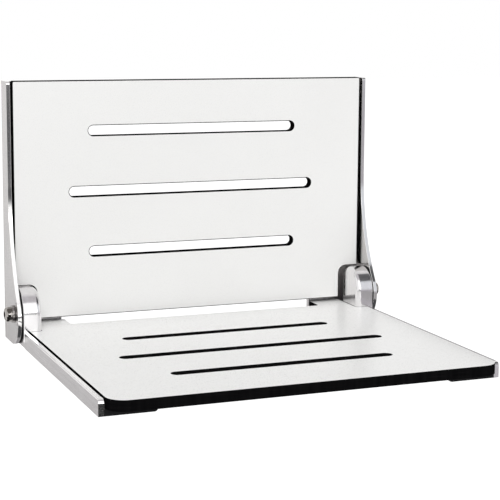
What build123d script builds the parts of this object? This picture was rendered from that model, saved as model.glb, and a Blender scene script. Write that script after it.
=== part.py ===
"""Wall-mounted fold-up shower seat with a slotted backrest.

Frame: +X to the right seen from the front, +Y towards the wall, +Z up, millimetres.
Origin: centre of the four wall holes, on the wall plane.
"""
import os
from math import asin, atan2, cos, pi, sin, sqrt

from build123d import *

# ---------------------------------------------------------------- driving dimensions
# reference planes
y_front = -432.9          # front edge of the seat, wall at y = 0
z_seat = -145.0           # top face of the seat panel

# compact laminate
panel_t = 12.7
seat_chamfer = 0.15                         # edges of the white faces
back_chamfer = 1.05
slot_w = 16.0                               # slots in the seat

# seat panel
seat_w = 468.7
seat_d = 418.5                              # the rear tabs reach under the backrest
seat_front_r = 22.0
seat_slot_y = (91.1, 184.3, 278.0)          # from the front edge
seat_slot_len = (275.7, 339.8, 275.7)
seat_recess_w = 349.0
seat_recess_d = 32.3
seat_recess_r = 4.0
seat_notch_x = 218.2                        # inner wall of the knuckle notch
seat_notch_y = 355.7                        # front wall of the knuckle notch, from the front edge
seat_notch_r = 7.2

# backrest panel
back_w = 483.1
back_h = 305.7
back_z0 = 5.5                               # bottom edge above the seat's top face
back_y = 406.4                              # front face, from the seat's front edge
back_corner_r = 2.5                         # top corners
back_low_r = 1.5                            # corners of the knuckle notch and the bottom edge
back_slot_z = (246.7, 168.3, 89.6)          # above the seat's top face
back_slot_len = (286.8, 338.6, 286.8)
back_slot_w = 13.0
back_notch_x = 213.8
back_notch_h = 44.2
back_notch_r = 10.0

# wall arms
arm_in = 244.6                              # inner face, from the middle
arm_out = 249.6                             # outer face
arm_top = 310.8                             # above the seat's top face
arm_front = 404.5                           # straight upper part of the front edge
arm_curve_r = 265.0                         # hollow front edge
arm_end_r = 36.3                            # round lower end
arm_end_y = 393.3                           # its middle, from the seat's front edge
arm_end_z = 15.2                            # and above the seat's top face
arm_top_r = 3.5                             # front corner at the top
arm_rim_r = 0.5                             # soft edges
flange_t = 8.0
flange_in = 177.0                           # inner edge of the rear flange
flange_r = 8.0

# wall holes: stud spacing across, in the flanges
wall_dx = 406.4
wall_dz = 228.6
wall_hole_r = 3.6

# hinge
pivot_y = 381.5                             # from the seat's front edge
pivot_z = 19.3                              # above the seat's top face
bush_r = 8.0
bush_bore_r = 6.05
shoulder_r = 6.0
thread_r = 5.0
thread_len = 14.0
bolt_head_r = 9.4
bolt_head_h = 8.4
bolt_head_round = 4.2
bolt_socket_af = 7.0
bolt_socket_depth = 4.6
washer_r = 11.2
washer_t = 3.0
side_play = 0.3
pad_gap = 0.3                               # between friction pad and knuckle
pad_inset = 0.4                             # friction pad inside the arm's outline
pad_hole_r = 6.6
knuckle_front = 356.3                       # from the seat's front edge
knuckle_top = 51.0                          # above the seat's top face
knuckle_front_r = 31.2
knuckle_rear_r = 18.5
knuckle_in = 218.8
knuckle_out = 242.5
knuckle_fillet = 6.4

# seat rails
rail_out = 242.0                            # outer face of the upstand
rail_wall_t = 6.4
rail_top = -1.6                             # top of the upstand
rail_flange_t = 8.1
rail_in = 176.0                             # inner edge of the flange
rail_front = 20.0                           # from the seat's front edge
rail_rear = 418.9
rail_low_r = 4.0                            # lower inner edge of the flange
rail_crest_r = 1.6                          # outer top edge of the upstand
rail_crest_in_r = 0.8                       # and its inner one
rail_nose_r = 6.0                           # its upper front corner
plug_t = 1.6
plug_len = 12.0
chamber_h = 4.5
chamber_w = 13.0
chamber_x = (187.0, 213.0)

# fasteners
screw_r = 3.0
screw_head_r = 6.0
seat_screw_x = 200.0
seat_screw_y = (72.0, 196.0, 320.0)
knuckle_screw_x = 231.0
knuckle_screw_y = (366.5, 395.5)
insert_r = 4.75
insert_len = 9.0

# backrest hangers
hanger_x = 210.0
hanger_z = (70.0, 225.0)                    # above the seat's top face
hanger_collar_r = 8.0
hanger_neck_r = 3.5
hanger_head_r = 6.25
hanger_head_t = 3.0
key_slot_r = 3.6
key_pocket_r = 6.6
key_lip = 3.4
key_drop = 16.0

# stop pads
pad_front = 419.2
pad_x = (184.0, 240.0)
pad_z = (-19.5, -6.0)
pad_peg_r = 3.0
pad_peg_len = 6.0

# ---------------------------------------------------------------- derived places
Y = lambda d: y_front + d                   # depth from the seat's front edge to frame
Z = lambda h: z_seat + h                    # height above the seat's top face to frame
py, pz = Y(pivot_y), Z(pivot_z)
y_wall = 0.0
y_flange = y_wall - flange_t
z_panel_low = Z(-panel_t)
z_rail_low = z_panel_low - rail_flange_t
y_back_rear = Y(back_y) + panel_t

os.makedirs("parts", exist_ok=True)

# ---------------------------------------------------------------- seat panel
with BuildPart() as seat_panel:
    with BuildSketch(Plane.XY.offset(z_panel_low)) as outline:
        with Locations((0, Y(seat_d / 2))):
            Rectangle(seat_w, seat_d)
        fillet(outline.vertices().group_by(Axis.Y)[0], seat_front_r)
        with Locations((0, Y(seat_d))):
            Rectangle(seat_recess_w, 2 * seat_recess_d, mode=Mode.SUBTRACT)
        notch_w = seat_w / 2 - seat_notch_x
        notch_d = seat_d - seat_notch_y
        with Locations(
            (seat_notch_x + notch_w, Y(seat_d)),
            (-seat_notch_x - notch_w, Y(seat_d)),
        ):
            Rectangle(2 * notch_w, 2 * notch_d, mode=Mode.SUBTRACT)
        recess_corners = [
            v for v in outline.vertices()
            if abs(abs(v.X) - seat_recess_w / 2) < 0.01 and abs(v.Y - Y(seat_d - seat_recess_d)) < 0.01
        ]
        fillet(recess_corners, seat_recess_r)
        notch_corners = [
            v for v in outline.vertices()
            if abs(abs(v.X) - seat_notch_x) < 0.01 and abs(v.Y - Y(seat_notch_y)) < 0.01
        ]
        fillet(notch_corners, seat_notch_r)
        rear_corners = [v for v in outline.vertices() if abs(v.Y - Y(seat_d)) < 0.01]
        fillet(rear_corners, 3.0)
        for yy, ll in zip(seat_slot_y, seat_slot_len):
            with Locations((0, Y(yy))):
                SlotOverall(ll, slot_w, mode=Mode.SUBTRACT)
    extrude(amount=panel_t)
    chamfer(seat_panel.faces().sort_by(Axis.Z)[-1].edges(), seat_chamfer)
    chamfer(seat_panel.faces().sort_by(Axis.Z)[0].edges(), seat_chamfer)
    for side in (-1, 1):
        with BuildSketch(Plane.XY.offset(z_panel_low)):
            with Locations(*[(side * seat_screw_x, Y(yy)) for yy in seat_screw_y]):
                Circle(insert_r)
        extrude(amount=insert_len, mode=Mode.SUBTRACT)

# ---------------------------------------------------------------- backrest panel
back_plane = Plane(origin=(0, y_back_rear, 0), x_dir=(1, 0, 0), z_dir=(0, -1, 0))
with BuildPart() as backrest_panel:
    with BuildSketch(back_plane) as outline:
        with Locations((0, Z(back_z0 + back_h / 2))):
            Rectangle(back_w, back_h)
        fillet(outline.vertices().group_by(Axis.Y)[-1], back_corner_r)
        nw = back_w / 2 - back_notch_x
        with Locations((back_notch_x + nw, Z(back_z0)), (-back_notch_x - nw, Z(back_z0))):
            Rectangle(2 * nw, 2 * back_notch_h, mode=Mode.SUBTRACT)
        inner = [
            v for v in outline.vertices()
            if abs(abs(v.X) - back_notch_x) < 0.01 and v.Y > Z(back_z0) + 1
        ]
        fillet(inner, back_notch_r)
        outer = [
            v for v in outline.vertices()
            if abs(abs(v.X) - back_w / 2) < 0.01 and v.Y < Z(back_z0 + back_notch_h) + 0.01
            or abs(v.Y - Z(back_z0)) < 0.01
        ]
        fillet(outer, back_low_r)
        for zz, ll in zip(back_slot_z, back_slot_len):
            with Locations((0, Z(zz))):
                SlotOverall(ll, back_slot_w, mode=Mode.SUBTRACT)
    extrude(amount=panel_t)
    chamfer(backrest_panel.faces().sort_by(Axis.Y)[0].edges(), back_chamfer)
    chamfer(backrest_panel.faces().sort_by(Axis.Y)[-1].edges(), back_chamfer)
    with BuildSketch(back_plane):
        with Locations(*[(s * hanger_x, Z(h)) for s in (-1, 1) for h in hanger_z]):
            Circle(insert_r)
    extrude(amount=insert_len, mode=Mode.SUBTRACT)

# ---------------------------------------------------------------- wall arms
# tangent of the hollow front edge with the round lower end
ey, ez = Y(arm_end_y), Z(arm_end_z)
cy = Y(arm_front) - arm_curve_r
reach = arm_curve_r + arm_end_r
cz = ez + sqrt(reach**2 - (ey - cy) ** 2)
a_t = atan2(ez - cz, ey - cy)               # direction of the tangent point from the hollow's middle
z_arm_top, z_arm_low = Z(arm_top), ez - arm_end_r


def arm_outline(inset, y_rear, z_top):
    """Closed side view of the arm, drawn inside its edge by inset and cut off at y_rear and z_top."""
    hollow, end = arm_curve_r + inset, arm_end_r - inset
    front = Y(arm_front) + inset
    a_s = 0.0 if z_top > cz else asin((z_top - cz) / hollow)
    start = (cy + hollow * cos(a_s), cz + hollow * sin(a_s))
    a_m = (a_s + a_t) / 2
    tangent = (cy + hollow * cos(a_t), cz + hollow * sin(a_t))
    a_0, a_1 = a_t + pi, 1.5 * pi
    a_e = (a_0 + a_1) / 2
    low = ez - end
    Line((y_rear, low), (y_rear, z_top))
    if z_top > cz:
        Line((y_rear, z_top), (front, z_top))
        Line((front, z_top), start)
    else:
        Line((y_rear, z_top), start)
    ThreePointArc(start, (cy + hollow * cos(a_m), cz + hollow * sin(a_m)), tangent)
    ThreePointArc(tangent, (ey + end * cos(a_e), ez + end * sin(a_e)), (ey, low))
    Line((ey, low), (y_rear, low))


with BuildPart() as left_wall_arm:
    with BuildSketch(Plane.YZ.offset(-arm_out)) as side_view:
        with BuildLine():
            arm_outline(0.0, y_wall, z_arm_top)
        make_face()
        fillet([v for v in side_view.vertices() if abs(v.X - Y(arm_front)) < 0.01 and v.Y > z_arm_top - 0.01], arm_top_r)
    extrude(amount=arm_out - arm_in)
    # soft edges along the visible outline, all but the wall side
    rim = [
        e for e in left_wall_arm.edges()
        if (abs(e.center().X + arm_out) < 0.01 or abs(e.center().X + arm_in) < 0.01)
        and e.center().Y < y_wall - 0.5
    ]
    fillet(rim, arm_rim_r)
    # rear flange against the wall
    with BuildSketch(Plane.XZ.offset(flange_t)) as flange:
        with Locations((-(arm_in + 1.0 + flange_in) / 2, (z_arm_top + z_arm_low) / 2)):
            Rectangle(arm_in + 1.0 - flange_in, z_arm_top - z_arm_low - 1.6)
        fillet([v for v in flange.vertices() if abs(v.X + flange_in) < 0.01], flange_r)
    extrude(amount=-flange_t)
    # wall holes
    with BuildSketch(Plane.XZ.offset(flange_t)):
        with Locations((-wall_dx / 2, wall_dz / 2), (-wall_dx / 2, -wall_dz / 2)):
            Circle(wall_hole_r)
    extrude(amount=-flange_t, mode=Mode.SUBTRACT)
    # keyholes for the hanger studs: entry hole, narrow slot below it, pocket behind
    for h in hanger_z:
        with BuildSketch(Plane.XZ.offset(flange_t)):
            with Locations((-hanger_x, Z(h) + key_drop / 2)):
                SlotOverall(key_drop + 2 * key_slot_r, 2 * key_slot_r, rotation=90)
            with Locations((-hanger_x, Z(h) + key_drop)):
                Circle(key_pocket_r)
        extrude(amount=-flange_t, mode=Mode.SUBTRACT)
        with BuildSketch(Plane.XZ.offset(flange_t - key_lip)):
            with Locations((-hanger_x, Z(h) + key_drop / 2)):
                SlotOverall(key_drop + 2 * key_pocket_r, 2 * key_pocket_r, rotation=90)
        extrude(amount=-(flange_t - key_lip), mode=Mode.SUBTRACT)
    # hole for the stop pad's peg
    with BuildSketch(Plane.XZ.offset(flange_t)):
        with Locations((-(pad_x[0] + pad_x[1]) / 2, Z((pad_z[0] + pad_z[1]) / 2))):
            Circle(pad_peg_r)
    extrude(amount=-flange_t, mode=Mode.SUBTRACT)
    # hole for the pivot bush
    with BuildSketch(Plane.YZ.offset(-arm_out)):
        with Locations((py, pz)):
            Circle(bush_r)
    extrude(amount=arm_out - arm_in, mode=Mode.SUBTRACT)

with BuildPart() as right_wall_arm:
    mirror(left_wall_arm.part, about=Plane.YZ)

# ---------------------------------------------------------------- pivot bushes in the arms
with BuildPart() as left_pivot_bush:
    with BuildSketch(Plane.YZ.offset(-arm_out)):
        with Locations((py, pz)):
            Circle(bush_r)
            Circle(bush_bore_r, mode=Mode.SUBTRACT)
    extrude(amount=arm_out - arm_in)

with BuildPart() as right_pivot_bush:
    mirror(left_pivot_bush.part, about=Plane.YZ)

# ---------------------------------------------------------------- stop pads on the flanges
with BuildPart() as left_stop_pad:
    with BuildSketch(Plane.XZ.offset(flange_t)) as pad:
        with Locations((-(pad_x[0] + pad_x[1]) / 2, Z((pad_z[0] + pad_z[1]) / 2))):
            RectangleRounded(pad_x[1] - pad_x[0], pad_z[1] - pad_z[0], 3.0)
    extrude(amount=y_flange - Y(pad_front))
    fillet(left_stop_pad.faces().sort_by(Axis.Y)[0].edges(), 0.8)
    with BuildSketch(Plane.XZ.offset(flange_t)):
        with Locations((-(pad_x[0] + pad_x[1]) / 2, Z((pad_z[0] + pad_z[1]) / 2))):
            Circle(pad_peg_r)
    extrude(amount=-pad_peg_len)

with BuildPart() as right_stop_pad:
    mirror(left_stop_pad.part, about=Plane.YZ)

# ---------------------------------------------------------------- backrest inserts and hanger studs
with BuildPart() as backrest_inserts:
    with BuildSketch(back_plane):
        with Locations(*[(s * hanger_x, Z(h)) for s in (-1, 1) for h in hanger_z]):
            Circle(insert_r)
            Circle(screw_r, mode=Mode.SUBTRACT)
    extrude(amount=insert_len)

with BuildPart() as backrest_hanger_studs:
    places = [(s * hanger_x, Z(h)) for s in (-1, 1) for h in hanger_z]
    with BuildSketch(back_plane):
        with Locations(*places):
            Circle(screw_r)
    extrude(amount=insert_len - 1.0)
    with BuildSketch(back_plane):
        with Locations(*places):
            Circle(hanger_collar_r)
    extrude(amount=-(y_flange - y_back_rear))
    neck_plane = Plane(origin=(0, y_flange, 0), x_dir=(1, 0, 0), z_dir=(0, 1, 0))
    with BuildSketch(neck_plane):
        with Locations(*[(x, -z) for x, z in places]):
            Circle(hanger_neck_r)
    extrude(amount=key_lip + 0.3)
    head_plane = Plane(origin=(0, y_flange + key_lip + 0.3, 0), x_dir=(1, 0, 0), z_dir=(0, 1, 0))
    with BuildSketch(head_plane):
        with Locations(*[(x, -z) for x, z in places]):
            Circle(hanger_head_r)
    extrude(amount=hanger_head_t)
    chamfer(backrest_hanger_studs.faces().sort_by(Axis.Y)[-1].edges(), 0.5)

# ---------------------------------------------------------------- hinge knuckles
def knuckle_outline(z_low):
    """Closed side view of the knuckle, drawn down to z_low."""
    y_crown = Y(knuckle_front + knuckle_front_r)
    z_crown = Z(knuckle_top)
    z_front, z_rear = z_crown - knuckle_front_r, z_crown - knuckle_rear_r
    y_f, y_r = Y(knuckle_front), y_crown + knuckle_rear_r
    h = sqrt(0.5)
    Line((y_f, z_low), (y_f, z_front))
    ThreePointArc(
        (y_f, z_front),
        (y_crown - h * knuckle_front_r, z_front + h * knuckle_front_r),
        (y_crown, z_crown),
    )
    ThreePointArc(
        (y_crown, z_crown),
        (y_crown + h * knuckle_rear_r, z_rear + h * knuckle_rear_r),
        (y_r, z_rear),
    )
    Line((y_r, z_rear), (y_r, z_low))
    Line((y_r, z_low), (y_f, z_low))


with BuildPart() as left_hinge_knuckle:
    with BuildSketch(Plane.YZ.offset(-knuckle_out)):
        with BuildLine():
            knuckle_outline(z_panel_low)
        make_face()
    extrude(amount=knuckle_out - knuckle_in)
    inner_rim = [
        e for e in left_hinge_knuckle.edges()
        if abs(e.center().X + knuckle_in) < 0.01 and e.center().Z > z_panel_low + 0.5
    ]
    fillet(inner_rim, knuckle_fillet)
    outer_rim = [
        e for e in left_hinge_knuckle.edges()
        if abs(e.center().X + knuckle_out) < 0.01 and e.center().Z > z_panel_low + 0.5
    ]
    fillet(outer_rim, 1.0)
    with BuildSketch(Plane.YZ.offset(-knuckle_out)):
        with Locations((py, pz)):
            Circle(thread_r)
    extrude(amount=thread_len + 1.0, mode=Mode.SUBTRACT)
    with BuildSketch(Plane.XY.offset(z_panel_low)):
        with Locations(*[(-knuckle_screw_x, Y(yy)) for yy in knuckle_screw_y]):
            Circle(screw_r)
    extrude(amount=14.0, mode=Mode.SUBTRACT)

with BuildPart() as right_hinge_knuckle:
    mirror(left_hinge_knuckle.part, about=Plane.YZ)

# ---------------------------------------------------------------- friction pads on the arms' inner faces
with BuildPart() as left_friction_pad:
    with BuildSketch(Plane.YZ.offset(-arm_in)):
        with BuildLine():
            arm_outline(pad_inset, y_flange - 1.0, Z(knuckle_top + 10.0))
        make_face()
        with BuildLine():
            knuckle_outline(z_arm_low)
        make_face(mode=Mode.INTERSECT)
        with Locations((py, pz)):
            Circle(pad_hole_r, mode=Mode.SUBTRACT)
    extrude(amount=arm_in - knuckle_out - pad_gap)

with BuildPart() as right_friction_pad:
    mirror(left_friction_pad.part, about=Plane.YZ)

# ---------------------------------------------------------------- pivot washers and bolts
x_washer = arm_out + side_play
with BuildPart() as left_pivot_washer:
    with BuildSketch(Plane.YZ.offset(-x_washer - washer_t)):
        with Locations((py, pz)):
            Circle(washer_r)
            Circle(bush_bore_r, mode=Mode.SUBTRACT)
    extrude(amount=washer_t)
    fillet(left_pivot_washer.edges().filter_by(GeomType.CIRCLE).sort_by(SortBy.RADIUS)[-2:], 0.5)

with BuildPart() as right_pivot_washer:
    mirror(left_pivot_washer.part, about=Plane.YZ)

x_head = x_washer + washer_t
with BuildPart() as left_pivot_bolt:
    with BuildSketch(Plane.YZ.offset(-x_head - bolt_head_h)):
        with Locations((py, pz)):
            Circle(bolt_head_r)
    extrude(amount=bolt_head_h)
    fillet(left_pivot_bolt.edges().sort_by(Axis.X)[0], bolt_head_round)
    with BuildSketch(Plane.YZ.offset(-x_head)):
        with Locations((py, pz)):
            Circle(shoulder_r)
    extrude(amount=x_head - knuckle_out)
    with BuildSketch(Plane.YZ.offset(-knuckle_out)):
        with Locations((py, pz)):
            Circle(thread_r)
    extrude(amount=thread_len)
    chamfer(left_pivot_bolt.edges().sort_by(Axis.X)[-1], 0.8)
    with BuildSketch(Plane.YZ.offset(-x_head - bolt_head_h)):
        with Locations((py, pz)):
            RegularPolygon(bolt_socket_af / 2, 6, major_radius=False)
    extrude(amount=bolt_socket_depth, mode=Mode.SUBTRACT)

with BuildPart() as right_pivot_bolt:
    mirror(left_pivot_bolt.part, about=Plane.YZ)

# ---------------------------------------------------------------- seat rails
z_ch = z_panel_low - rail_flange_t / 2
with BuildPart() as left_seat_rail:
    # flange under the panel, hollow in two chambers
    with BuildSketch(Plane.XZ.offset(-Y(rail_front + plug_t))) as section:
        with Locations((-(rail_in + rail_out) / 2, (z_panel_low + z_rail_low) / 2)):
            Rectangle(rail_out - rail_in, rail_flange_t)
        fillet([v for v in section.vertices() if abs(v.X + rail_in) < 0.01 and v.Y < z_panel_low - 1], rail_low_r)
        fillet([v for v in section.vertices() if abs(v.X + rail_out) < 0.01 and v.Y < z_panel_low - 1], 1.2)
        with Locations(*[(-x, z_ch) for x in chamber_x]):
            Rectangle(chamber_w, chamber_h, mode=Mode.SUBTRACT)
    extrude(amount=-(rail_rear - rail_front - plug_t))
    # upstand beside the panel, with a rounded top and a rounded front end
    wall_rear = knuckle_front - 0.4
    with BuildSketch(Plane.YZ.offset(-rail_out)):
        with Locations((Y((rail_front + wall_rear) / 2), (Z(rail_top) + z_rail_low) / 2)):
            Rectangle(wall_rear - rail_front, Z(rail_top) - z_rail_low)
    extrude(amount=rail_wall_t)
    for x_edge, r_edge in ((rail_out, rail_crest_r), (rail_out - rail_wall_t, rail_crest_in_r)):
        crest = [
            e for e in left_seat_rail.edges()
            if abs(e.center().Z - Z(rail_top)) < 0.01 and abs(e.center().X + x_edge) < 0.01
        ]
        fillet(crest, r_edge)
    with BuildSketch(Plane.YZ.offset(-rail_out - 1.0)):
        with Locations((Y(rail_front + rail_nose_r / 2 - 0.5), Z(rail_top - rail_nose_r / 2 + 0.5))):
            Rectangle(rail_nose_r + 1.0, rail_nose_r + 1.0)
        with Locations((Y(rail_front + rail_nose_r), Z(rail_top - rail_nose_r))):
            Circle(rail_nose_r, mode=Mode.SUBTRACT)
    extrude(amount=rail_wall_t + 2.0, mode=Mode.SUBTRACT)
    # screw holes from below: seat screws in the web, knuckle screws at the heel
    for x, ys in ((seat_screw_x, seat_screw_y), (knuckle_screw_x, knuckle_screw_y)):
        with Locations(*[Location((-x, Y(yy), z_rail_low), (180, 0, 0)) for yy in ys]):
            CounterSinkHole(screw_r + 0.3, screw_head_r + 0.3, depth=rail_flange_t + 1.0, counter_sink_angle=90)

with BuildPart() as right_seat_rail:
    mirror(left_seat_rail.part, about=Plane.YZ)

# ---------------------------------------------------------------- rail end plugs
with BuildPart() as left_rail_end_plug:
    x_in_wall = rail_out - rail_wall_t
    with BuildSketch(Plane.XZ.offset(-Y(rail_front))) as face:
        with Locations((-(rail_in + x_in_wall) / 2, (z_panel_low + z_rail_low) / 2)):
            Rectangle(x_in_wall - rail_in, rail_flange_t)
        fillet([v for v in face.vertices() if abs(v.X + rail_in) < 0.01 and v.Y < z_panel_low - 1], rail_low_r)
    extrude(amount=-plug_t)
    with BuildSketch(Plane.XZ.offset(-Y(rail_front + plug_t))):
        with Locations(*[(-x, z_ch) for x in chamber_x]):
            Rectangle(chamber_w - 0.2, chamber_h - 0.2)
    extrude(amount=-plug_len)

with BuildPart() as right_rail_end_plug:
    mirror(left_rail_end_plug.part, about=Plane.YZ)

# ---------------------------------------------------------------- seat inserts and screws
with BuildPart() as seat_inserts:
    with BuildSketch(Plane.XY.offset(z_panel_low)):
        with Locations(*[(s * seat_screw_x, Y(yy)) for s in (-1, 1) for yy in seat_screw_y]):
            Circle(insert_r)
            Circle(screw_r, mode=Mode.SUBTRACT)
    extrude(amount=insert_len)

with BuildPart() as seat_screws:
    seat_places = [(s * seat_screw_x, Y(yy)) for s in (-1, 1) for yy in seat_screw_y]
    with BuildSketch(Plane.XY.offset(z_rail_low)):
        with Locations(*seat_places):
            Circle(screw_r)
    extrude(amount=rail_flange_t + insert_len - 1.0)
    with Locations(*[(x, y, z_rail_low + 1.5) for x, y in seat_places]):
        Cone(screw_head_r, screw_r, 3.0)
    with BuildSketch(Plane.XY.offset(z_rail_low)):
        with Locations(*seat_places):
            RegularPolygon(2.0, 6, major_radius=False)
    extrude(amount=2.2, mode=Mode.SUBTRACT)

with BuildPart() as knuckle_screws:
    knuckle_places = [(s * knuckle_screw_x, Y(yy)) for s in (-1, 1) for yy in knuckle_screw_y]
    with BuildSketch(Plane.XY.offset(z_rail_low)):
        with Locations(*knuckle_places):
            Circle(screw_r)
    extrude(amount=rail_flange_t + 13.0)
    with Locations(*[(x, y, z_rail_low + 1.5) for x, y in knuckle_places]):
        Cone(screw_head_r, screw_r, 3.0)
    with BuildSketch(Plane.XY.offset(z_rail_low)):
        with Locations(*knuckle_places):
            RegularPolygon(2.0, 6, major_radius=False)
    extrude(amount=2.2, mode=Mode.SUBTRACT)

# ---------------------------------------------------------------- labels and files
pieces = {
    "left_wall_arm": left_wall_arm,
    "right_wall_arm": right_wall_arm,
    "backrest_panel": backrest_panel,
    "backrest_inserts": backrest_inserts,
    "backrest_hanger_studs": backrest_hanger_studs,
    "left_pivot_bush": left_pivot_bush,
    "right_pivot_bush": right_pivot_bush,
    "left_stop_pad": left_stop_pad,
    "right_stop_pad": right_stop_pad,
    "seat_panel": seat_panel,
    "seat_inserts": seat_inserts,
    "seat_screws": seat_screws,
    "left_seat_rail": left_seat_rail,
    "right_seat_rail": right_seat_rail,
    "left_rail_end_plug": left_rail_end_plug,
    "right_rail_end_plug": right_rail_end_plug,
    "left_hinge_knuckle": left_hinge_knuckle,
    "right_hinge_knuckle": right_hinge_knuckle,
    "knuckle_screws": knuckle_screws,
    "left_pivot_bolt": left_pivot_bolt,
    "right_pivot_bolt": right_pivot_bolt,
    "left_pivot_washer": left_pivot_washer,
    "right_pivot_washer": right_pivot_washer,
    "left_friction_pad": left_friction_pad,
    "right_friction_pad": right_friction_pad,
}
for name, piece in pieces.items():
    piece.part.label = name
    export_step(piece.part, f"parts/{name}.step")
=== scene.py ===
import math
import bpy
from mathutils import Matrix, Vector

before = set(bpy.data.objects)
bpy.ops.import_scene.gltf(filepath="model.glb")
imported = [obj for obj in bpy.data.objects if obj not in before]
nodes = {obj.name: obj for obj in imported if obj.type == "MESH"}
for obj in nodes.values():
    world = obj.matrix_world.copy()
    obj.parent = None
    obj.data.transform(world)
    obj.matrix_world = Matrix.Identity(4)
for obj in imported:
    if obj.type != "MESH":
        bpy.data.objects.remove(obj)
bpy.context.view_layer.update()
scene = bpy.context.scene

# ------------------------------------------------------------------ camera
# fitted to the panels' edges: place, axes (right, down, ahead), focal length and picture centre
right = Vector((0.923148, -0.384338, 0.009030))
ahead = Vector((0.381625, 0.913288, -0.142367)).normalized()
right = (right - ahead * right.dot(ahead)).normalized()
down = ahead.cross(right).normalized()
cam_data = bpy.data.cameras.new("camera")
cam_data.sensor_fit = "HORIZONTAL"
cam_data.sensor_width = 36.0
cam_data.lens = 36.0 * 1497.955 / 500.0
cam_data.shift_x = (250.0 - 278.652) / 500.0
cam_data.shift_y = (219.751 - 250.0) / 500.0
cam_data.clip_start, cam_data.clip_end = 0.05, 60.0
cam = bpy.data.objects.new("camera", cam_data)
scene.collection.objects.link(cam)
m = Matrix.Identity(4)
for i in range(3):
    m[i][0], m[i][1], m[i][2] = right[i], -down[i], -ahead[i]
m.translation = Vector((-0.657243, -1.892348, 0.264498))
cam.matrix_world = m
scene.camera = cam


# ------------------------------------------------------------------ node helpers
class Graph:
    """A small builder for one material's nodes."""

    def __init__(self, name):
        self.mat = bpy.data.materials.new(name)
        self.mat.use_nodes = True
        self.t = self.mat.node_tree
        self.t.nodes.clear()
        self.out = self.t.nodes.new("ShaderNodeOutputMaterial")
        self.bsdf = self.t.nodes.new("ShaderNodeBsdfPrincipled")
        self.link(self.bsdf, "BSDF", self.out, "Surface")
        self.coord = self.t.nodes.new("ShaderNodeTexCoord")

    def link(self, a, ao, b, bi):
        self.t.links.new(a.outputs[ao], b.inputs[bi])

    def set(self, **values):
        for k, v in values.items():
            self.bsdf.inputs[k.replace("_", " ")].default_value = v

    def mapped(self, scale, rotation=(0, 0, 0)):
        n = self.t.nodes.new("ShaderNodeMapping")
        n.inputs["Scale"].default_value = scale
        n.inputs["Rotation"].default_value = rotation
        self.link(self.coord, "Object", n, "Vector")
        return n

    def noise(self, scale, detail=3.0, rough=0.5, stretch=(1, 1, 1)):
        n = self.t.nodes.new("ShaderNodeTexNoise")
        n.inputs["Scale"].default_value = scale
        n.inputs["Detail"].default_value = detail
        n.inputs["Roughness"].default_value = rough
        self.link(self.mapped(stretch), "Vector", n, "Vector")
        return n

    def ramp(self, source, out, stops):
        n = self.t.nodes.new("ShaderNodeValToRGB")
        e = n.color_ramp.elements
        while len(e) < len(stops):
            e.new(0.5)
        for el, (p, c) in zip(e, stops):
            el.position = p
            el.color = (*c, 1.0) if len(c) == 3 else c
        self.link(source, out, n, "Fac")
        return n

    def remap(self, source, out, lo, hi, a=0.0, b=1.0):
        n = self.t.nodes.new("ShaderNodeMapRange")
        n.inputs["From Min"].default_value = a
        n.inputs["From Max"].default_value = b
        n.inputs["To Min"].default_value = lo
        n.inputs["To Max"].default_value = hi
        self.link(source, out, n, "Value")
        return n

    def multiply(self, a, ao, b, bo, fac=1.0):
        n = self.t.nodes.new("ShaderNodeMix")
        n.data_type, n.blend_type = "RGBA", "MULTIPLY"
        n.inputs["Factor"].default_value = fac
        self.t.links.new(a.outputs[ao], n.inputs["A"])
        self.t.links.new(b.outputs[bo], n.inputs["B"])
        return n

    def bump(self, source, out, strength, distance, chain=None):
        n = self.t.nodes.new("ShaderNodeBump")
        n.inputs["Strength"].default_value = strength
        n.inputs["Distance"].default_value = distance
        self.link(source, out, n, "Height")
        if chain is not None:
            self.link(chain, "Normal", n, "Normal")
        return n

    def colour(self, node, out="Color"):
        self.link(node, out, self.bsdf, "Base Color")

    def rough(self, node, out="Result"):
        self.link(node, out, self.bsdf, "Roughness")

    def normal(self, node):
        self.link(node, "Normal", self.bsdf, "Normal")


def laminate_face():
    g = Graph("laminate_white")
    cloud = g.noise(7.0, 4.0, 0.55)
    fine = g.noise(900.0, 2.0, 0.6)
    tone = g.ramp(cloud, "Fac", [(0.3, (0.838, 0.836, 0.826)), (0.7, (0.862, 0.860, 0.850))])
    speck = g.ramp(fine, "Fac", [(0.25, (0.965, 0.965, 0.965)), (0.6, (1.0, 1.0, 1.0))])
    g.colour(g.multiply(tone, "Color", speck, "Color"), "Result")
    g.rough(g.remap(fine, "Fac", 0.24, 0.33))
    peel = g.noise(330.0, 2.0, 0.5)
    g.normal(g.bump(peel, "Fac", 0.05, 0.0004, g.bump(fine, "Fac", 0.06, 0.0002)))
    g.set(Specular_IOR_Level=0.5)
    return g.mat


def laminate_core(name, axis):
    """Black core: thin paper plies across the thickness, with sanded edges."""
    g = Graph(name)
    stretch = {"z": (1, 1, 0.0001), "y": (1, 0.0001, 1)}[axis]
    ply_at = {"z": (30, 30, 2600), "y": (30, 2600, 30)}[axis]
    ply = g.noise(1.0, 2.0, 0.6, ply_at)
    grit = g.noise(1300.0, 2.0, 0.6)
    streak = g.noise(160.0, 3.0, 0.6, stretch)
    tone = g.ramp(ply, "Fac", [(0.3, (0.0024, 0.0024, 0.0027)), (0.7, (0.0072, 0.0070, 0.0074))])
    wear = g.ramp(streak, "Fac", [(0.35, (0.7, 0.7, 0.72)), (0.75, (1.25, 1.23, 1.2))])
    g.colour(g.multiply(tone, "Color", wear, "Color"), "Result")
    g.rough(g.remap(grit, "Fac", 0.56, 0.74))
    g.normal(g.bump(ply, "Fac", 0.12, 0.0002, g.bump(grit, "Fac", 0.08, 0.0002)))
    g.set(Specular_IOR_Level=0.0)
    return g.mat


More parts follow.
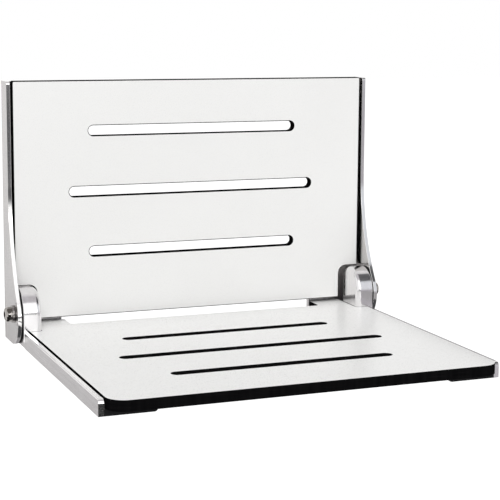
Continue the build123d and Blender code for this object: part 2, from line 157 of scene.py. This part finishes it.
def brushed(name, colour, rough, along, spread=0.10, grain=0.05, tint=0.035):
    """Metal with fine straight grain along one axis."""
    g = Graph(name)
    long = 9.0
    stretch = [1400.0, 1400.0, 1400.0]
    stretch["xyz".index(along)] = long
    grainy = g.noise(1.0, 4.0, 0.65, tuple(stretch))
    wide = [260.0, 260.0, 260.0]
    wide["xyz".index(along)] = 3.0
    bands = g.noise(1.0, 2.0, 0.5, tuple(wide))
    stain = g.noise(26.0, 4.0, 0.6)
    lo = tuple(c * (1 - tint) for c in colour)
    hi = tuple(min(1.0, c * (1 + tint)) for c in colour)
    tone = g.ramp(bands, "Fac", [(0.3, lo), (0.7, hi)])
    film = g.ramp(stain, "Fac", [(0.35, (0.96, 0.955, 0.955)), (0.65, (1.0, 1.0, 1.0))])
    g.colour(g.multiply(tone, "Color", film, "Color"), "Result")
    g.rough(g.remap(grainy, "Fac", rough - spread / 2, rough + spread / 2, 0.3, 0.7))
    g.normal(g.bump(grainy, "Fac", grain, 0.0002))
    g.set(Metallic=1.0)
    return g.mat


def moulded(name, colour, rough, scale=1500.0, strength=0.12, spec=0.4):
    """Black moulded plastic or rubber with a fine matt texture."""
    g = Graph(name)
    fine = g.noise(scale, 2.0, 0.6)
    cloud = g.noise(60.0, 3.0, 0.5)
    tone = g.ramp(cloud, "Fac", [(0.3, tuple(c * 0.8 for c in colour)), (0.7, tuple(c * 1.25 for c in colour))])
    g.colour(tone)
    g.rough(g.remap(fine, "Fac", rough - 0.06, rough + 0.08))
    g.normal(g.bump(fine, "Fac", strength, 0.0002))
    g.set(Specular_IOR_Level=spec)
    return g.mat


white = laminate_face()
core_seat = laminate_core("laminate_core_seat", "z")
core_back = laminate_core("laminate_core_back", "y")
arm_metal = brushed("arm_satin_aluminium", (0.64, 0.625, 0.62), 0.22, "z")
rail_metal = brushed("rail_satin_aluminium", (0.66, 0.645, 0.645), 0.24, "y")
arm_edge = brushed("arm_machined_edge", (0.86, 0.855, 0.85), 0.10, "z", 0.06, 0.03, 0.02)
rail_edge = brushed("rail_machined_edge", (0.94, 0.935, 0.93), 0.13, "y", 0.06, 0.02, 0.02)
flange_metal = brushed("flange_satin_aluminium", (0.86, 0.84, 0.84), 0.34, "z", 0.10, 0.05, 0.03)
knuckle_metal = brushed("knuckle_polished_aluminium", (0.86, 0.85, 0.855), 0.18, "z", 0.08, 0.03, 0.03)
steel = brushed("stainless_steel", (0.62, 0.60, 0.58), 0.20, "x", 0.08, 0.02, 0.03)
bolt_metal = brushed("nickel_bolt", (0.42, 0.40, 0.38), 0.13, "x", 0.06, 0.02, 0.04)
washer_metal = brushed("washer_steel", (0.46, 0.44, 0.43), 0.18, "x", 0.06, 0.02, 0.03)
brass = brushed("machined_brass", (0.72, 0.55, 0.26), 0.30, "z", 0.08, 0.03, 0.04)
nylon = moulded("black_nylon", (0.006, 0.006, 0.0065), 0.50, spec=0.15)
rubber = moulded("black_rubber", (0.009, 0.009, 0.009), 0.66, 900.0, 0.2, 0.3)


def paint(node, *materials):
    o = nodes[node]
    o.data.materials.clear()
    for x in materials:
        o.data.materials.append(x)
    return o


def two_tone(node, core, axis):
    """White on the two flat decor faces, black core on every edge, slot wall and chamfer."""
    o = paint(node, white, core)
    for p in o.data.polygons:
        p.material_index = 0 if abs(p.normal[axis]) > 0.999 else 1
    return o


def bright_edges(node, face, edge, is_edge):
    """Satin on the broad faces, machined bright on the edges."""
    o = paint(node, face, edge)
    for p in o.data.polygons:
        p.material_index = 1 if is_edge(p.normal) else 0
    return o


two_tone("seat_panel", core_seat, 2)
two_tone("backrest_panel", core_back, 1)
for side in ("left", "right"):
    arm = bright_edges(f"{side}_wall_arm", arm_metal, arm_edge, lambda n: abs(n.x) < 0.6 and n.y < 0.5)
    arm.data.materials.append(flange_metal)
    for p in arm.data.polygons:
        if p.center.y > -0.0085 and p.normal.y < -0.9:
            p.material_index = 2
    bright_edges(f"{side}_seat_rail", rail_metal, rail_edge, lambda n: n.z > 0.25 or n.y < -0.5)
    paint(f"{side}_hinge_knuckle", knuckle_metal)
    paint(f"{side}_pivot_bolt", bolt_metal)
    paint(f"{side}_pivot_washer", washer_metal)
    paint(f"{side}_friction_pad", nylon)
    paint(f"{side}_pivot_bush", nylon)
    paint(f"{side}_rail_end_plug", nylon)
    paint(f"{side}_stop_pad", rubber)
for n in ("seat_screws", "knuckle_screws", "backrest_hanger_studs"):
    paint(n, steel)
for n in ("seat_inserts", "backrest_inserts"):
    paint(n, brass)

# ------------------------------------------------------------------ floor, light
floor_z = -0.602


def plane(name, corners):
    me = bpy.data.meshes.new(name)
    me.from_pydata([Vector(c) for c in corners], [], [list(range(len(corners)))])
    o = bpy.data.objects.new(name, me)
    scene.collection.objects.link(o)
    return o


floor = plane("floor", [(-9, -4.2, floor_z), (9, -4.2, floor_z), (9, 14, floor_z), (-9, 14, floor_z)])
gf = Graph("floor_pale")
fl = gf.noise(3.0, 3.0, 0.5)
gf.colour(gf.ramp(fl, "Fac", [(0.3, (0.29, 0.29, 0.29)), (0.7, (0.31, 0.31, 0.31))]))
gf.set(Roughness=0.8, Specular_IOR_Level=0.0, Emission_Color=(1, 1, 1, 1), Emission_Strength=0.86)
floor.data.materials.append(gf.mat)
floor.visible_diffuse = False

# what the matt surfaces get from below: as much as a white floor gives back
bounce = plane("floor_bounce", [(-9, -6, floor_z - 0.02), (9, -6, floor_z - 0.02), (9, 14, floor_z - 0.02), (-9, 14, floor_z - 0.02)])
gb = Graph("floor_bounce")
gb.colour(gb.ramp(gb.noise(3.0, 3.0, 0.5), "Fac", [(0.3, (0.0, 0.0, 0.0)), (0.7, (0.0, 0.0, 0.0))]))
gb.set(Roughness=0.8, Specular_IOR_Level=0.0, Emission_Color=(1, 1, 1, 1), Emission_Strength=0.83)
bounce.data.materials.append(gb.mat)
bounce.visible_camera = False
bounce.visible_glossy = False
bounce.visible_shadow = False

world = bpy.data.worlds.new("studio")
scene.world = world
world.use_nodes = True
wt = world.node_tree
wt.nodes.clear()
w_out = wt.nodes.new("ShaderNodeOutputWorld")
w_bg = wt.nodes.new("ShaderNodeBackground")
w_path = wt.nodes.new("ShaderNodeLightPath")
w_fill = wt.nodes.new("ShaderNodeMapRange")
w_bg.inputs["Color"].default_value = (1.0, 1.0, 1.0, 1.0)
w_fill.inputs["To Min"].default_value = 1.0
w_fill.inputs["To Max"].default_value = 0.42     # what the matt surfaces get from all round
wt.links.new(w_path.outputs["Is Diffuse Ray"], w_fill.inputs["Value"])
wt.links.new(w_fill.outputs["Result"], w_bg.inputs["Strength"])
wt.links.new(w_bg.outputs["Background"], w_out.inputs["Surface"])

sun_data = bpy.data.lights.new("front_light", "SUN")
sun_data.energy = 2.14
sun_data.angle = math.radians(50.0)
sun = bpy.data.objects.new("front_light", sun_data)
sun.visible_glossy = False
sun.rotation_euler = Vector((0.09, 0.671, -0.736)).to_track_quat("-Z", "Y").to_euler()
scene.collection.objects.link(sun)


def flag(name, corners, tone, fade=None):
    """A studio card that only shows as a reflection in the metal.

    fade: (axis, from, to, tone at the far end) gives the card a soft edge."""
    o = plane(name, corners)
    mat = bpy.data.materials.new(name)
    mat.use_nodes = True
    t = mat.node_tree
    t.nodes.clear()
    out = t.nodes.new("ShaderNodeOutputMaterial")
    em = t.nodes.new("ShaderNodeEmission")
    em.inputs["Color"].default_value = (*tone, 1.0)
    t.links.new(em.outputs["Emission"], out.inputs["Surface"])
    if fade:
        axis, a, b, far = fade
        co = t.nodes.new("ShaderNodeTexCoord")
        sx = t.nodes.new("ShaderNodeSeparateXYZ")
        mr = t.nodes.new("ShaderNodeMapRange")
        mr.interpolation_type = "SMOOTHSTEP"
        mr.inputs["From Min"].default_value = a
        mr.inputs["From Max"].default_value = b
        mx = t.nodes.new("ShaderNodeMix")
        mx.data_type = "RGBA"
        mx.inputs["A"].default_value = (*tone, 1.0)
        mx.inputs["B"].default_value = (*far, 1.0)
        t.links.new(co.outputs["Object"], sx.inputs["Vector"])
        t.links.new(sx.outputs["XYZ".index(axis)], mr.inputs["Value"])
        t.links.new(mr.outputs["Result"], mx.inputs["Factor"])
        t.links.new(mx.outputs["Result"], em.inputs["Color"])
    o.data.materials.append(mat)
    o.visible_camera = False
    o.visible_diffuse = False
    o.visible_shadow = False
    o.visible_transmission = False
    return o


# front: a low dark band with a broad bright panel above it; greys further up and to the right
def upright(name, x0, x1, y, z0, z1, tone, fade=None):
    return flag(name, [(x0, y, z0), (x1, y, z0), (x1, y, z1), (x0, y, z1)], tone, fade)


def level(name, x0, x1, y0, y1, z, tone, fade=None):
    return flag(name, [(x0, y0, z), (x1, y0, z), (x1, y1, z), (x0, y1, z)], tone, fade)


low = floor_z + 0.01
upright("flag_front", -3.2, 1.6, -4.2, floor_z, 4.0, (0.11, 0.11, 0.115), ("Z", -0.08, 0.34, (1.35, 1.35, 1.35)))
upright("flag_front_strip", 0.2, 1.15, -4.15, 0.45, 0.85, (5.0, 5.0, 5.0))
upright("flag_front_right", 1.6, 7.0, -4.2, floor_z, 4.0, (0.44, 0.42, 0.45), ("Z", -0.2, 0.2, (0.76, 0.78, 0.82)))
level("flag_over_front", -3.2, 1.6, -4.2, -3.28, 4.0, (1.35, 1.35, 1.35))
level("flag_over", -3.2, 1.6, -3.28, -0.15, 4.0, (0.55, 0.53, 0.55))
level("flag_over_right", 1.6, 7.0, -4.2, -0.15, 4.0, (0.10, 0.10, 0.105))
level("flag_over_back", -3.2, 7.0, -0.15, 5.0, 4.0, (0.80, 0.79, 0.79))
upright("flag_back_left", -4.0, -0.3, 4.0, 0.15, 2.4, (0.76, 0.75, 0.75))
# low down: a dark card on the floor below the seat, a painted shadow of the seat that shows only in reflections; a
# small dark card ahead of the left rail, a painted dark reflection in the rail's front end; grey to the right
flag("flag_under", [(-1.2, -0.65, low), (1.2, -1.1, low), (1.2, -0.05, low), (-1.2, -0.05, low)], (0.07, 0.07, 0.075))
level("flag_under_back", -0.3, 1.2, -0.05, 1.0, low, (0.33, 0.32, 0.33))
upright("painted_dark_reflection_low_front", -0.27, -0.12, -0.72, -0.36, -0.14, (0.012, 0.012, 0.012))
level("flag_low_right", 0.8, 3.6, -3.6, -1.15, low, (0.46, 0.44, 0.47))
# small dark cards just over and under the left pivot bolt: a painted dark reflection that leaves its flank dark but
# for a highlight
flag("painted_shade_bolt", [(-0.266, -0.0740, -0.1167), (-0.2518, -0.0740, -0.1167), (-0.2518, -0.0540, -0.1112), (-0.266, -0.0540, -0.1112)],
     (0.22, 0.21, 0.20))
for name, xb, (ya, za), (yb, zb) in (
    ("flag_bolt_low", -0.2525, (-0.0736, -0.1240), (-0.0700, -0.1335)),
    ("flag_bolt_lower", -0.2545, (-0.0700, -0.1335), (-0.0610, -0.1395)),
    ("flag_bolt_under", -0.2550, (-0.0610, -0.1395), (-0.0500, -0.1395)),
):
    flag(name, [(-0.266, ya, za), (xb, ya, za), (xb, yb, zb), (-0.266, yb, zb)], (0.03, 0.03, 0.03))
# behind on the left: light greys for the outer faces of the left rail and arm
level("flag_low_back", -0.95, -0.3, 0.65, 1.93, low, (0.60, 0.59, 0.595))
flag("flag_far_back", [(-0.80, 1.93, low), (-0.3, 1.93, low), (-0.3, 4.0, low), (-1.42, 4.0, low)],
     (0.45, 0.44, 0.445), ("Y", 1.93, 2.6, (0.675, 0.665, 0.668)))
upright("flag_low_left", -1.42, -0.3, 4.0, floor_z, 0.15, (0.72, 0.71, 0.71), ("Z", -0.6, -0.2, (0.84, 0.83, 0.83)))
# a narrow grey card just beside the seat's right edge: a painted grey reflection along the right rail's crest, to
# draw that edge against the white
flag("painted_reflection_edge_right", [(0.256, -0.45, -0.146), (0.256, -0.05, -0.146), (0.256, -0.05, -0.128), (0.256, -0.45, -0.128)],
     (0.38, 0.37, 0.38))

scene.view_settings.view_transform = "Standard"
scene.view_settings.look = "None"
